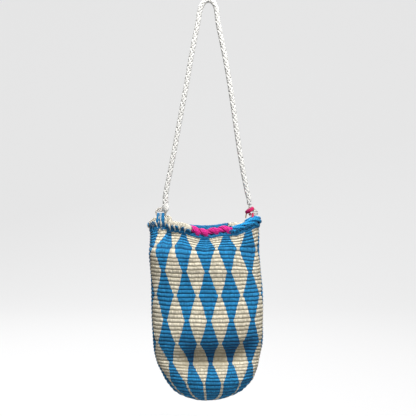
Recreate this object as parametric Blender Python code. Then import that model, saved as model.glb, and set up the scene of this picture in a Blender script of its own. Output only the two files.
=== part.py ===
"""A looped-fibre shoulder bag hanging by its braided rope strap, in metres, +Z up.

The frame's origin is the underside of the strap's crown, where a hook or a shoulder carries the bag. +X runs
to the right of someone who faces the front, and the front faces -Y. The pouch hangs from the strap's two end
loops: a straight bar of each loop lies on one line along X, and thread lashings hold the rim to those bars,
so the pouch swings on that line.
"""

import math

import bmesh
import bpy
import numpy as np
from mathutils import Vector

# Driving dimensions of the pouch.
POUCH_WIDTH = 0.184
POUCH_DEPTH = 0.075
POUCH_DROP = 0.302  # from the line that it swings on down to its lowest point
WALL = 0.0045
SHOULDER_DROP = 0.062  # from the swing line down to where the wall is a plain oval

# The line that the pouch swings on, and the clearances between separate pieces.
SWING_DROP = 0.336
GAP = 0.0003
SWING_GAP = 0.0004

# The rim: a core cord, a row of stitches under it, and edging yarn wound over it.
CORE_RADIUS = 0.0025
BASE_ROW_RADIUS = 0.0024
EDGING_SIDE_RADIUS = 0.0052
EDGING_TALL_RADIUS = 0.0078
EDGING_LOW_RADIUS = 0.0050
CORNER_ROLL_RADIUS = 0.0066
CORNER_PEAK_SHARE = 0.7
LOBE_HEIGHT = 0.0011
MAGENTA_LOBES = 4
ROLL_TWISTS = 5

# Where one edging yarn ends and the next starts: the front from the left corner to the right one, then the back.
LEFT_CORNER_X = -0.0880
WHITE_END_X = -0.0240
MAGENTA_END_X = 0.0340
ROLL_END_X = 0.0660
CORNER_END_X = 0.0600
HUMP_END_X = 0.0330

# The strap: a round braided rope with a knot at one end, a thread whipping at the other, and an end loop
# of thinner cord under each.
STRAP_RADIUS = 0.0040
LOOP_RADIUS = 0.0016
LOOP_CORNER_RADIUS = 0.0020
KNOT_RADIUS = 0.0043
KNOT_HEIGHT = 0.0105
KNOT_RISE = 0.0050  # from the swing line up to the knot's or the whipping's underside
WHIPPING_RADIUS = 0.0052
WHIPPING_HEIGHT = 0.0110
LEFT_END_X = -0.0690
RIGHT_END_X = 0.0650
LEFT_LOOP_REACH = 0.0150
RIGHT_LOOP_REACH = 0.0135
LOOP_HEIGHT = 0.0112
LOOP_SIDE_SHARE = 0.62
LOOP_CROWN_SHARE = 0.86
KNOT_WAIST_SHARE = 0.72
KNOT_TURNS = 2
WHIPPING_TURNS = 4

# Lashings: thread turns round a loop's bar and the rim together.
LASHING_RADIUS = 0.0011
WHITE_LASHING_RADIUS = 0.0008
LASHING_EASE = 0.0002  # slack between a lashing and the roll, beyond the gap
LEFT_OUTER_LASHING_X = -0.0812
LEFT_WHITE_LASHING_X = -0.0788
LEFT_INNER_LASHING_X = -0.0731
RIGHT_LASHING_X = 0.0704
TAIL_RADIUS = 0.0008
TAIL_LENGTH = 0.0110

# How finely the curves are divided.
RIM_STEPS = 72
TUBE_SIDES = 8
SLEEVE_SIDES = 10
STRAP_SPAN_STEPS = 2
STRAP_BEVEL_STEPS = 2
LOOP_STEPS = 26
BELT_STEPS = 18
KNOT_STEPS = 8
TAIL_STEPS = 5
BEND_STEPS = 9
CURVE_STEPS = 24
OVAL_STEPS = 360
OUTLINE_STEPS = 120
MERGE = 0.000001

# The strap's centre line, from the left knot over the crown to the right whipping.
STRAP_ROUTE = [
    (-0.0690, 0.0, -0.3202),
    (-0.0690, 0.0, -0.3145),
    (-0.0688, 0.0, -0.3050),
    (-0.0658, 0.0, -0.2870),
    (-0.0614, 0.0, -0.2660),
    (-0.0547, 0.0, -0.2320),
    (-0.0475, 0.0, -0.1930),
    (-0.0403, 0.0, -0.1550),
    (-0.0342, 0.0, -0.1220),
    (-0.0283, 0.0, -0.0880),
    (-0.0226, 0.0, -0.0580),
    (-0.0171, 0.0, -0.0304),
    (-0.0140, 0.0, -0.0130),
    (-0.0103, 0.0, -0.0032),
    (-0.0052, 0.0, 0.0026),
    (0.0, 0.0, 0.0040),
    (0.0052, 0.0, 0.0026),
    (0.0100, 0.0, -0.0032),
    (0.0125, 0.0, -0.0120),
    (0.0148, 0.0, -0.0304),
    (0.0206, 0.0, -0.0590),
    (0.0265, 0.0, -0.0880),
    (0.0325, 0.0, -0.1220),
    (0.0378, 0.0, -0.1550),
    (0.0434, 0.0, -0.1940),
    (0.0491, 0.0, -0.2320),
    (0.0557, 0.0, -0.2700),
    (0.0614, 0.0, -0.2980),
    (0.0642, 0.0, -0.3090),
    (0.0650, 0.0, -0.3150),
    (0.0650, 0.0, -0.3197),
]

# The rim's core, once round from the middle of the front towards +X. Each row holds shares of half the pouch's
# width, of half its depth and of the mouth's sag below the lashed stretches, and a share from the low edging
# to the tall one.
RIM_SAG = 0.0185
RIM_SHARES = [
    (-0.04, -0.86, 0.96, 0.00),
    (0.06, -0.86, 0.93, 0.00),
    (0.17, -0.86, 0.79, 0.00),
    (0.31, -0.84, 0.71, 0.05),
    (0.47, -0.81, 0.66, 0.10),
    (0.60, -0.77, 0.46, 0.15),
    (0.70, -0.71, 0.27, 0.20),
    (0.79, -0.62, 0.05, 0.20),
    (0.86, -0.45, 0.00, 0.20),
    (0.892, -0.24, 0.00, 0.15),
    (0.872, -0.04, 0.00, 0.10),
    (0.80, 0.02, 0.00, 0.10),
    (0.72, 0.03, 0.09, 0.10),
    (0.65, 0.12, 0.36, 0.12),
    (0.57, 0.30, 0.55, 0.10),
    (0.44, 0.56, 0.62, 0.10),
    (0.26, 0.76, 0.79, 0.05),
    (0.08, 0.84, 0.92, 0.00),
    (-0.12, 0.86, 0.93, 0.00),
    (-0.32, 0.84, 0.86, 0.03),
    (-0.54, 0.78, 0.76, 0.08),
    (-0.73, 0.66, 0.64, 0.15),
    (-0.88, 0.46, 0.53, 0.25),
    (-0.950, 0.24, 0.42, 0.35),
    (-0.938, 0.07, 0.30, 0.55),
    (-0.88, 0.00, 0.08, 0.75),
    (-0.82, 0.00, 0.00, 0.95),
    (-0.76, 0.00, 0.00, 1.00),
    (-0.69, -0.02, 0.00, 0.98),
    (-0.62, -0.13, 0.22, 0.52),
    (-0.51, -0.38, 0.36, 0.25),
    (-0.37, -0.60, 0.45, 0.20),
    (-0.24, -0.76, 0.70, 0.12),
    (-0.13, -0.83, 0.87, 0.05),
]
RIM_CENTRE_X = -0.0040

# The wall's sections below the shoulder: shares of the drop from the shoulder to the bottom, of half the
# width, of half the depth in front and behind, and of half the width that the section stands off centre.
WALL_SHARES = [
    (0.00, 0.962, 0.93, 0.93, -0.083),
    (0.10, 0.960, 0.99, 0.96, -0.058),
    (0.22, 0.968, 1.00, 0.98, -0.036),
    (0.34, 0.978, 1.00, 1.00, -0.024),
    (0.46, 0.972, 1.00, 1.00, -0.021),
    (0.56, 0.966, 0.98, 0.98, -0.016),
    (0.62, 0.952, 0.90, 0.95, -0.016),
    (0.67, 0.930, 0.78, 0.93, -0.020),
    (0.71, 0.906, 0.74, 0.90, -0.020),
    (0.755, 0.876, 0.84, 0.87, -0.013),
    (0.80, 0.828, 0.90, 0.82, -0.004),
    (0.85, 0.770, 0.87, 0.75, 0.001),
    (0.895, 0.680, 0.77, 0.66, -0.006),
    (0.935, 0.570, 0.63, 0.55, -0.014),
    (0.968, 0.400, 0.46, 0.40, -0.026),
    (0.990, 0.200, 0.24, 0.22, -0.030),
    (1.00, 0.00, 0.00, 0.00, -0.030),
]
NECK_SHARES = (0.0, 0.05, 0.17, 0.33, 0.53, 0.76)
OVAL_POWER = 2.35  # 2 is an ellipse, and more is squarer

BLUE = (0.018, 0.150, 0.370, 1.0)
BRIGHT_BLUE = (0.012, 0.270, 0.560, 1.0)
CREAM = (0.660, 0.560, 0.390, 1.0)
WHITE = (0.720, 0.710, 0.680, 1.0)
GREY = (0.420, 0.415, 0.400, 1.0)
MAGENTA = (0.680, 0.020, 0.230, 1.0)
TAN = (0.480, 0.280, 0.110, 1.0)

SWING_Z = -SWING_DROP
RIM_TOP_Z = SWING_Z - LOOP_RADIUS - 2 * GAP


def clear_scene():
    for old in list(bpy.data.objects):
        bpy.data.objects.remove(old)


def material(name, colour, roughness):
    """A plain dielectric finish in the piece's own colour."""
    made = bpy.data.materials.new(name)
    made.use_nodes = True
    shader = made.node_tree.nodes["Principled BSDF"]
    shader.inputs["Base Color"].default_value = colour
    shader.inputs["Roughness"].default_value = roughness
    shader.inputs["Metallic"].default_value = 0
    return made


def closed_curve(points, samples):
    """Samples, evenly spaced by length, of a smooth closed curve through the points."""
    rows = np.array(points, dtype=float)
    fine = []
    for i in range(len(rows)):
        before, here, after, last = (rows[(i + k) % len(rows)] for k in (-1, 0, 1, 2))
        for t in np.linspace(0, 1, CURVE_STEPS, endpoint=False):
            bend = (2 * before - 5 * here + 4 * after - last) * t * t
            twist = (3 * here - before - 3 * after + last) * t**3
            fine.append((2 * here + (after - before) * t + bend + twist) / 2)
    return resampled(np.array(fine + fine[:1]), samples + 1)[:-1]


def open_curve(points, steps):
    """A smooth open curve through the points, with so many steps from each to the next."""
    rows = np.array(points, dtype=float)
    rows = np.vstack([2 * rows[0] - rows[1], rows, 2 * rows[-1] - rows[-2]])
    fine = []
    for i in range(1, len(rows) - 2):
        before, here, after, last = rows[i - 1 : i + 3]
        for t in np.linspace(0, 1, steps, endpoint=False):
            bend = (2 * before - 5 * here + 4 * after - last) * t * t
            twist = (3 * here - before - 3 * after + last) * t**3
            fine.append((2 * here + (after - before) * t + bend + twist) / 2)
    return np.array(fine + [rows[-2]])


def resampled(fine, samples):
    """Points spaced evenly along a polyline, by the length of its first three columns."""
    steps = np.linalg.norm(np.diff(fine[:, :3], axis=0), axis=1)
    along = np.concatenate([[0], np.cumsum(steps)])
    wanted = np.linspace(0, along[-1], samples)
    return np.stack([np.interp(wanted, along, fine[:, k]) for k in range(fine.shape[1])], axis=1)


def rim_curve(samples):
    """The core's centre line with the edging's upright radius as a fourth column."""
    half_width = POUCH_WIDTH / 2
    half_depth = POUCH_DEPTH / 2
    rows = []
    for x_share, y_share, sag_share, tall_share in RIM_SHARES:
        tall = EDGING_LOW_RADIUS + (EDGING_TALL_RADIUS - EDGING_LOW_RADIUS) * tall_share
        z = RIM_TOP_Z - tall - RIM_SAG * sag_share
        rows.append((RIM_CENTRE_X + half_width * x_share, half_depth * y_share, z, tall))
    return closed_curve(rows, samples)


def smooth_column(shares, column, where):
    """A smooth value, at each place, of one column of a table that is ordered by its first column."""
    table = np.array(shares)
    places = table[:, 0]
    slopes = np.gradient(table[:, column], places)
    i = np.clip(np.searchsorted(places, where, side="right") - 1, 0, len(places) - 2)
    width = places[i + 1] - places[i]
    t = (where - places[i]) / width
    start = table[i, column] * (1 + 2 * t) * (1 - t) ** 2 + table[i + 1, column] * t * t * (3 - 2 * t)
    return start + width * (slopes[i] * t * (1 - t) ** 2 - slopes[i + 1] * t * t * (1 - t))


def oval(half_width, front, back, centre_x, z, count):
    """A ring of points, evenly spaced by length, from the middle of the front towards +X."""
    turn = np.linspace(0, 2 * math.pi, OVAL_STEPS + 1)
    wide = np.sign(np.sin(turn)) * np.abs(np.sin(turn)) ** (2 / OVAL_POWER)
    deep = np.sign(np.cos(turn)) * np.abs(np.cos(turn)) ** (2 / OVAL_POWER)
    depth = np.where(deep > 0, front, back)
    level = np.full(len(turn), z)
    ring = np.stack([centre_x + half_width * wide, -depth * deep, level], axis=1)
    return resampled(ring, count + 1)[:-1]


def wall_rings(count):
    """The wall's outer surface as rings of points, from under the rim's stitches down to the last ring."""
    rim = rim_curve(count)
    up = frames_along(rim[:, :3], True)[1]
    top = rim[:, :3] - up * (rim[:, 3] + 2 * BASE_ROW_RADIUS + 3 * GAP)[:, None]
    outward = ring_outward(top)
    top += outward * WALL / 2
    shoulder_z = SWING_Z - SHOULDER_DROP
    drop = POUCH_DROP - SHOULDER_DROP
    half_width = POUCH_WIDTH / 2
    half_depth = POUCH_DEPTH / 2
    ovals = []
    for share, *_ in WALL_SHARES[:-1]:
        values = [float(smooth_column(WALL_SHARES, k, share)) for k in (1, 2, 3, 4)]
        ring = oval(
            half_width * values[0],
            half_depth * values[1],
            half_depth * values[2],
            half_width * values[3],
            shoulder_z - drop * share,
            count,
        )
        ovals.append(ring)
    rings = []
    upright = NECK_SHARES[1]
    for share in NECK_SHARES:
        eased_share = max(0, (share - upright) / (1 - upright))
        ease = eased_share * eased_share * (3 - 2 * eased_share)
        ring = top * (1 - ease) + ovals[0] * ease
        ring[:, 2] = top[:, 2] * (1 - share) + ovals[0][:, 2] * share
        rings.append(ring)
    return rings + ovals


def ring_outward(ring):
    """Level unit vectors that point out of a closed ring which runs anticlockwise from above."""
    along = np.roll(ring, -1, axis=0) - np.roll(ring, 1, axis=0)
    out = np.stack([along[:, 1], -along[:, 0], np.zeros(len(ring))], axis=1)
    return out / np.linalg.norm(out, axis=1)[:, None]


def linked(name, bm, finish, parent):
    """An object for a finished shape, its faces pointing out."""
    bmesh.ops.remove_doubles(bm, verts=bm.verts, dist=MERGE)
    bmesh.ops.recalc_face_normals(bm, faces=bm.faces)
    mesh = bpy.data.meshes.new(name)
    bm.to_mesh(mesh)
    bm.free()
    mesh.shade_smooth()
    mesh.materials.append(finish)
    made = bpy.data.objects.new(name, mesh)
    bpy.context.scene.collection.objects.link(made)
    made.parent = parent
    made.matrix_parent_inverse = parent.matrix_world.inverted()
    return made


def frames_along(points, closed):
    """A side vector and an up vector at each point of a path, square to it and nearest to level and upright."""
    if closed:
        along = np.roll(points, -1, axis=0) - np.roll(points, 1, axis=0)
    else:
        along = np.gradient(points, axis=0)
    along /= np.linalg.norm(along, axis=1)[:, None]
    guide = np.array([0, 0, 1.0]) if closed else np.array([0, 1.0, 0])
    side = np.cross(along, guide)
    side /= np.linalg.norm(side, axis=1)[:, None]
    return side, np.cross(side, along)


def add_ring(bm, centre, side, up, side_radius, up_radius, sides):
    """One ring of vertices round a path's point."""
    ring = []
    for k in range(sides):
        turn = 2 * math.pi * k / sides
        place = centre + side * side_radius * math.cos(turn) + up * up_radius * math.sin(turn)
        ring.append(bm.verts.new(Vector(place)))
    return ring


def join_rings(bm, first, second):
    count = len(first)
    for k in range(count):
        bm.faces.new((first[k], first[(k + 1) % count], second[(k + 1) % count], second[k]))


def rope(name, route, radius, finish, parent):
    """A round rope along a route, with flat ends."""
    line = bpy.data.curves.new(name, "CURVE")
    line.dimensions = "3D"
    line.bevel_depth = radius
    line.bevel_resolution = STRAP_BEVEL_STEPS
    line.use_fill_caps = True
    spline = line.splines.new("POLY")
    spline.points.add(len(route) - 1)
    for point, place in zip(spline.points, route):
        point.co = (*place, 1)
    line.materials.append(finish)
    made = bpy.data.objects.new(name, line)
    bpy.context.scene.collection.objects.link(made)
    made.parent = parent
    return made


def tube(name, points, side_radii, up_radii, finish, parent, closed=False):
    """A solid tube along a path, with flat ends unless the path is closed."""
    side, up = frames_along(points, closed)
    bm = bmesh.new()
    rings = []
    for i, centre in enumerate(points):
        rings.append(add_ring(bm, centre, side[i], up[i], side_radii[i], up_radii[i], TUBE_SIDES))
    for first, second in zip(rings, rings[1:]):
        join_rings(bm, first, second)
    if closed:
        join_rings(bm, rings[-1], rings[0])
    else:
        bm.faces.new(rings[0])
        bm.faces.new(rings[-1])
    return linked(name, bm, finish, parent)


def sleeve(name, path, tall, start, stop, bump, finish, parent):
    """Edging yarn over a stretch of the core, as a tube with the core's bore through it."""
    side, up = frames_along(path, True)
    count = len(path)
    picked = [k % count for k in range(start, stop + 1)]
    bore = CORE_RADIUS + GAP
    bm = bmesh.new()
    inner = []
    outer = []
    for place, k in enumerate(picked):
        share = place / (len(picked) - 1)
        side_radius, up_radius = bump(share, tall[k])
        centre = path[k].copy()
        if place == 0:
            centre += (path[picked[1]] - path[k]) / np.linalg.norm(path[picked[1]] - path[k]) * GAP / 2
        if place == len(picked) - 1:
            centre += (path[picked[-2]] - path[k]) / np.linalg.norm(path[picked[-2]] - path[k]) * GAP / 2
        inner.append(add_ring(bm, centre, side[k], up[k], bore, bore, TUBE_SIDES))
        outer.append(add_ring(bm, centre, side[k], up[k], side_radius, up_radius, TUBE_SIDES))
    for rings in (inner, outer):
        for first, second in zip(rings, rings[1:]):
            join_rings(bm, first, second)
    join_rings(bm, inner[0], outer[0])
    join_rings(bm, inner[-1], outer[-1])
    return linked(name, bm, finish, parent)


def plain_edging(share, tall):
    return EDGING_SIDE_RADIUS, tall


def lobed_edging(share, tall):
    lobe = LOBE_HEIGHT * abs(math.sin(math.pi * MAGENTA_LOBES * share))
    return EDGING_SIDE_RADIUS + lobe, tall


def twisted_edging(share, tall):
    twist = LOBE_HEIGHT / 2 * math.cos(2 * math.pi * ROLL_TWISTS * share)
    return EDGING_SIDE_RADIUS + twist, tall


def corner_edging(share, tall):
    swell = math.sin(math.pi * share**CORNER_PEAK_SHARE) ** 2
    return EDGING_SIDE_RADIUS + (CORNER_ROLL_RADIUS - EDGING_SIDE_RADIUS) * swell, tall


def nearest_step(path, x, front):
    """The step of the rim's path nearest to a place along X, on the front or the back half."""
    distance = np.abs(path[:, 0] - x)
    half = np.arange(len(path))
    turn = (half + len(path) // 4) % len(path)
    wrong = (turn >= len(path) // 2) if front else (turn < len(path) // 2)
    distance[wrong] += POUCH_WIDTH
    return int(np.argmin(distance))


def belt_path(x, upper_radius, side_radius, tall, centre_y, centre_z):
    """A thread's centre line round a bar above and the rim's oval roll below, square to X."""
    ring = []
    for turn in np.linspace(0, 2 * math.pi, OUTLINE_STEPS, endpoint=False):
        ring.append((upper_radius * math.cos(turn), SWING_Z + upper_radius * math.sin(turn)))
        ring.append((centre_y + side_radius * math.cos(turn), centre_z + tall * math.sin(turn)))
    hull = convex_outline(ring)
    hull.append(hull[0])
    points = np.array([(x, y, z) for y, z in hull])
    return resampled(points, BELT_STEPS + 1)[:-1]


def convex_outline(points):
    """The convex outline of flat points, anticlockwise."""
    ordered = sorted(set(points))
    chains = []
    for run in (ordered, ordered[::-1]):
        chain = []
        for point in run:
            while len(chain) > 1 and turns_right(chain[-2], chain[-1], point):
                chain.pop()
            chain.append(point)
        chains.append(chain[:-1])
    return chains[0] + chains[1]


def turns_right(a, b, c):
    return (b[0] - a[0]) * (c[1] - a[1]) - (b[1] - a[1]) * (c[0] - a[0]) <= 0


def belt(name, path, radius, finish, parent):
    """A closed turn of thread in a plane square to X."""
    bm = bmesh.new()
    rings = []
    along = np.roll(path, -1, axis=0) - np.roll(path, 1, axis=0)
    along /= np.linalg.norm(along, axis=1)[:, None]
    for centre, ahead in zip(path, along):
        side = np.array([1.0, 0, 0])
        up = np.cross(side, ahead)
        rings.append(add_ring(bm, centre, side, up, radius, radius, TUBE_SIDES))
    for first, second in zip(rings, rings[1:] + rings[:1]):
        join_rings(bm, first, second)
    return linked(name, bm, finish, parent)


def rounded_route(corners, radius, samples):
    """A path through flat corners, each rounded, evenly spaced by length."""
    fine = [np.array(corners[0])]
    for before, here, after in zip(corners, corners[1:], corners[2:]):
        before, here, after = (np.array(c) for c in (before, here, after))
        back = (before - here) / np.linalg.norm(before - here)
        ahead = (after - here) / np.linalg.norm(after - here)
        reach = min(radius, np.linalg.norm(before - here) / 2, np.linalg.norm(after - here) / 2)
        start = here + back * reach
        end = here + ahead * reach
        for t in np.linspace(0, 1, BEND_STEPS):
            fine.append(start * (1 - t) ** 2 + here * 2 * t * (1 - t) + end * t * t)
    fine.append(np.array(corners[-1]))
    return resampled(np.array(fine), samples)


def strap_loop(name, end_x, reach, side, finish, parent):
    """The thin cord loop under a strap's end. Its lower run is the straight bar that the pouch swings on."""
    under = SWING_Z + KNOT_RISE - GAP
    beside = end_x + side * (max(KNOT_RADIUS, WHIPPING_RADIUS) + GAP)
    far = end_x + side * reach
    top = SWING_Z + LOOP_HEIGHT
    crown = SWING_Z + LOOP_HEIGHT * LOOP_CROWN_SHARE
    corners = [
        (end_x, 0.0, under),
        (end_x, 0.0, SWING_Z),
        (far, 0.0, SWING_Z),
        (far, 0.0, SWING_Z + LOOP_HEIGHT * LOOP_SIDE_SHARE),
        ((far + beside) / 2, 0.0, top),
        (beside, 0.0, crown),
    ]
    path = rounded_route(corners, LOOP_CORNER_RADIUS, LOOP_STEPS)
    radii = [LOOP_RADIUS] * len(path)
    return tube(name, path, radii, radii, finish, parent)


def knot(name, end_x, radius, height, waists, finish, parent):
    """A turned knot or whipping on a strap's end, upright, with a groove between its turns."""
    bm = bmesh.new()
    bottom = SWING_Z + KNOT_RISE
    rings = []
    for k in range(KNOT_STEPS + 1):
        share = k / KNOT_STEPS
        swell = KNOT_WAIST_SHARE + (1 - KNOT_WAIST_SHARE) * math.sqrt(abs(math.sin(math.pi * waists * share)))
        centre = np.array([end_x, 0.0, bottom + height * share])
        side = np.array([1.0, 0, 0])
        up = np.array([0, 1.0, 0])
        rings.append(add_ring(bm, centre, side, up, radius * swell, radius * swell, SLEEVE_SIDES))
    for first, second in zip(rings, rings[1:]):
        join_rings(bm, first, second)
    bm.faces.new(rings[0])
    bm.faces.new(rings[-1])
    return linked(name, bm, finish, parent)


def pouch_wall(finish, parent):
    """The looped-fibre wall: a lofted shell, open at the mouth and rounded at the bottom."""
    rings = wall_rings(RIM_STEPS)
    bm = bmesh.new()
    made = [[bm.verts.new(Vector(p)) for p in ring] for ring in rings]
    for first, second in zip(made, made[1:]):
        join_rings(bm, first, second)
    last = WALL_SHARES[-1]
    pole = bm.verts.new((POUCH_WIDTH / 2 * last[4], 0.0, SWING_Z - POUCH_DROP))
    for k in range(RIM_STEPS):
        bm.faces.new((made[-1][k], made[-1][(k + 1) % RIM_STEPS], pole))
    wall = linked("pouch_wall", bm, finish, parent)
    thick = wall.modifiers.new("thickness", "SOLIDIFY")
    thick.thickness = WALL
    thick.offset = -1
    return wall


def notch(target, cutter):
    """Cuts room for a lashing out of a piece that it passes through."""
    cutter.hide_render = True
    cutter.display_type = "WIRE"
    cut = target.modifiers.new(cutter.name, "BOOLEAN")
    cut.operation = "DIFFERENCE"
    cut.object = cutter


def empty_at(name, place, parent=None):
    made = bpy.data.objects.new(name, None)
    bpy.context.scene.collection.objects.link(made)
    made.location = place
    made.parent = parent
    bpy.context.view_layer.update()
    return made


def build_strap(finishes, parent):
    """The rope, its end knots and its end loops, which stay with whatever holds the crown."""
    rope("strap_cord", open_curve(STRAP_ROUTE, STRAP_SPAN_STEPS), STRAP_RADIUS, finishes["white"], parent)
    left = ("left_strap_knot", LEFT_END_X, KNOT_RADIUS, KNOT_HEIGHT, KNOT_TURNS)
    knot(*left, finishes["white"], parent)
    right = ("right_strap_whipping", RIGHT_END_X, WHIPPING_RADIUS, WHIPPING_HEIGHT, WHIPPING_TURNS)
    knot(*right, finishes["magenta"], parent)
    strap_loop("left_strap_loop", LEFT_END_X, LEFT_LOOP_REACH, -1, finishes["grey"], parent)
    strap_loop("right_strap_loop", RIGHT_END_X, RIGHT_LOOP_REACH, 1, finishes["white"], parent)
    tail_x = RIGHT_END_X - WHIPPING_RADIUS - TAIL_RADIUS - GAP
    tail_top = SWING_Z + KNOT_RISE + WHIPPING_HEIGHT / 2
    tail = np.array([(tail_x, 0.0, tail_top - TAIL_LENGTH * t) for t in np.linspace(0, 1, TAIL_STEPS)])
    thin = [TAIL_RADIUS] * len(tail)
    tube("tan_thread_tail", tail, thin, thin, finishes["tan"], parent)


def build_rim(finishes, parent):
    """The core cord, the row of stitches under it and the edging yarns wound over it."""
    rim = rim_curve(RIM_STEPS)
    path = rim[:, :3]
    tall = rim[:, 3]
    core_radii = [CORE_RADIUS] * RIM_STEPS
    tube("rim_core_cord", path, core_radii, core_radii, finishes["cream"], parent, closed=True)
    up = frames_along(path, True)[1]
    low = path - up * (tall + BASE_ROW_RADIUS + GAP)[:, None]
    row_radii = [BASE_ROW_RADIUS] * RIM_STEPS
    row = tube("rim_stitch_row", low, row_radii, row_radii, finishes["blue"], parent, closed=True)
    left_corner = nearest_step(path, LEFT_CORNER_X, True)
    white_end = nearest_step(path, WHITE_END_X, True)
    magenta_end = nearest_step(path, MAGENTA_END_X, True)
    roll_end = nearest_step(path, ROLL_END_X, True)
    corner_end = nearest_step(path, CORNER_END_X, False)
    hump_end = nearest_step(path, HUMP_END_X, False)
    stretches = [
        ("white_front_edging", left_corner, white_end, plain_edging, "white"),
        ("magenta_edging", white_end, magenta_end, lobed_edging, "magenta"),
        ("blue_front_edging", magenta_end, roll_end, twisted_edging, "bright_blue"),
        ("right_corner_edging", roll_end, corner_end, corner_edging, "bright_blue"),
        ("white_back_edging", corner_end, hump_end, plain_edging, "white"),
        ("blue_back_edging", hump_end, left_corner, plain_edging, "blue"),
    ]
    for name, start, stop, bump, colour in stretches:
        while stop <= start:
            stop += RIM_STEPS
        sleeve(name, path, tall, start, stop, bump, finishes[colour], parent)
    return row, rim


def build_lashings(rim, row, wall, finishes, parent):
    """Thread turns that tie the rim to the bars of the strap's end loops."""
    lashings = [
        ("left_outer_lashing", LEFT_OUTER_LASHING_X, LASHING_RADIUS, True, "blue"),
        ("left_white_lashing", LEFT_WHITE_LASHING_X, WHITE_LASHING_RADIUS, True, "white"),
        ("left_inner_lashing", LEFT_INNER_LASHING_X, LASHING_RADIUS, True, "blue"),
        ("right_lashing", RIGHT_LASHING_X, LASHING_RADIUS, False, "magenta"),
    ]
    for name, x, radius, front, colour in lashings:
        here = rim[nearest_step(rim, x, front)]
        side = max(EDGING_SIDE_RADIUS, CORNER_ROLL_RADIUS if not front else 0)
        turn = belt_path(
            x,
            LOOP_RADIUS + SWING_GAP + radius,
            side + GAP + LASHING_EASE + radius,
            here[3] + GAP + LASHING_EASE + radius,
            here[1],
            here[2],
        )
        belt(name, turn, radius, finishes[colour], parent)
        room = belt("room_for_" + name, turn, radius + GAP, finishes[colour], parent)
        notch(row, room)
        notch(wall, room)


def build():
    clear_scene()
    finishes = {
        "blue": material("blue_fibre", BLUE, 0.85),
        "bright_blue": material("bright_blue_yarn", BRIGHT_BLUE, 0.75),
        "cream": material("cream_fibre", CREAM, 0.85),
        "white": material("white_cord", WHITE, 0.75),
        "grey": material("grey_cord", GREY, 0.75),
        "magenta": material("magenta_yarn", MAGENTA, 0.75),
        "tan": material("tan_thread", TAN, 0.8),
    }
    strap = empty_at("strap_frame", (0, 0, 0))
    pouch = empty_at("pouch_swing_axis", (0, 0, SWING_Z), strap)
    build_strap(finishes, strap)
    row, rim = build_rim(finishes, pouch)
    wall = pouch_wall(finishes["blue"], pouch)
    build_lashings(rim, row, wall, finishes, pouch)


build()
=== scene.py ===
"""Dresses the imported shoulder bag: looped rows with diamonds, a wound rim, lashings and a braided strap."""

import math

import bmesh
import bpy
import numpy as np
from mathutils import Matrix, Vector


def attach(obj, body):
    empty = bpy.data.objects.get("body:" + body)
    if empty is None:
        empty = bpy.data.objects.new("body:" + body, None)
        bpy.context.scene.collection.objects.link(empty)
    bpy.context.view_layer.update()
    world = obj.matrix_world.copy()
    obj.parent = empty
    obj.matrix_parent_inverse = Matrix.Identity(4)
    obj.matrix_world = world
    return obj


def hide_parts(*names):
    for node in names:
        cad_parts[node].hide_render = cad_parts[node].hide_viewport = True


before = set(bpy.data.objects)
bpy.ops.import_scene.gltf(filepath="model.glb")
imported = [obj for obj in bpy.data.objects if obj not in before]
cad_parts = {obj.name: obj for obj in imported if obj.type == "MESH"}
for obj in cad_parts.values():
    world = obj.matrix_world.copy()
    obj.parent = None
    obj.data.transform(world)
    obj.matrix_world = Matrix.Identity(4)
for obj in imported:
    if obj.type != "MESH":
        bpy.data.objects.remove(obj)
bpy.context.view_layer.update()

# Sizes that the CAD model has too, in metres.
POUCH_WIDTH = 0.184
POUCH_DEPTH = 0.075
POUCH_DROP = 0.302
SHOULDER_DROP = 0.062
SWING_Z = -0.336
LOOP_RADIUS = 0.0016
GAP = 0.0003
BASE_ROW_RADIUS = 0.0024
WALL = 0.0045
EDGING_SIDE_RADIUS = 0.0052
EDGING_TALL_RADIUS = 0.0078
EDGING_LOW_RADIUS = 0.005
RIM_TOP_Z = SWING_Z - LOOP_RADIUS - 2 * GAP
RIM_SAG = 0.0185
RIM_CENTRE_X = -0.004
LEFT_END_X = -0.069
RIGHT_END_X = 0.065

# The strap's centre line, left knot to right whipping: X and Z in tenths of a millimetre.
STRAP_POINTS = (
    (-690, -3202), (-690, -3145), (-688, -3050), (-658, -2870), (-614, -2660), (-547, -2320),
    (-475, -1930), (-403, -1550), (-342, -1220), (-283, -880), (-226, -580), (-171, -304),
    (-140, -130), (-103, -32), (-52, 26), (0, 40), (52, 26), (100, -32),
    (125, -120), (148, -304), (206, -590), (265, -880), (325, -1220), (378, -1550),
    (434, -1940), (491, -2320), (557, -2700), (614, -2980), (642, -3090), (650, -3150),
    (650, -3197),
)
STRAP_ROUTE = [(x / 10000, 0.0, z / 10000) for x, z in STRAP_POINTS]

# The rim's core once round, nearly as in the CAD model: shares of half the width and half the depth, of the
# mouth's sag, and from the low edging to the tall one, in thousandths.
RIM_ROWS = (
    (-40, -860, 960, 0), (60, -860, 930, 0), (170, -860, 790, 0), (310, -840, 710, 50),
    (470, -810, 660, 100), (600, -770, 460, 150), (700, -710, 270, 200), (790, -620, 50, 200),
    (860, -450, 0, 200), (892, -240, 0, 150), (872, -40, 0, 100), (800, 20, 0, 100),
    (720, 30, 220, 100), (650, 120, 500, 120), (570, 300, 600, 100), (440, 560, 620, 100),
    (260, 760, 790, 50), (80, 840, 920, 0), (-120, 860, 930, 0), (-320, 840, 860, 30),
    (-540, 780, 760, 80), (-730, 660, 640, 150), (-880, 460, 530, 250), (-950, 240, 420, 350),
    (-938, 70, 300, 550), (-880, 0, 80, 750), (-820, 0, 0, 950), (-760, 0, 0, 1000),
    (-670, -30, 0, 960), (-610, -150, 300, 500), (-510, -380, 360, 250), (-370, -600, 450, 200),
    (-240, -760, 700, 120), (-130, -830, 870, 50),
)
RIM_SHARES = np.array(RIM_ROWS) / 1000

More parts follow.
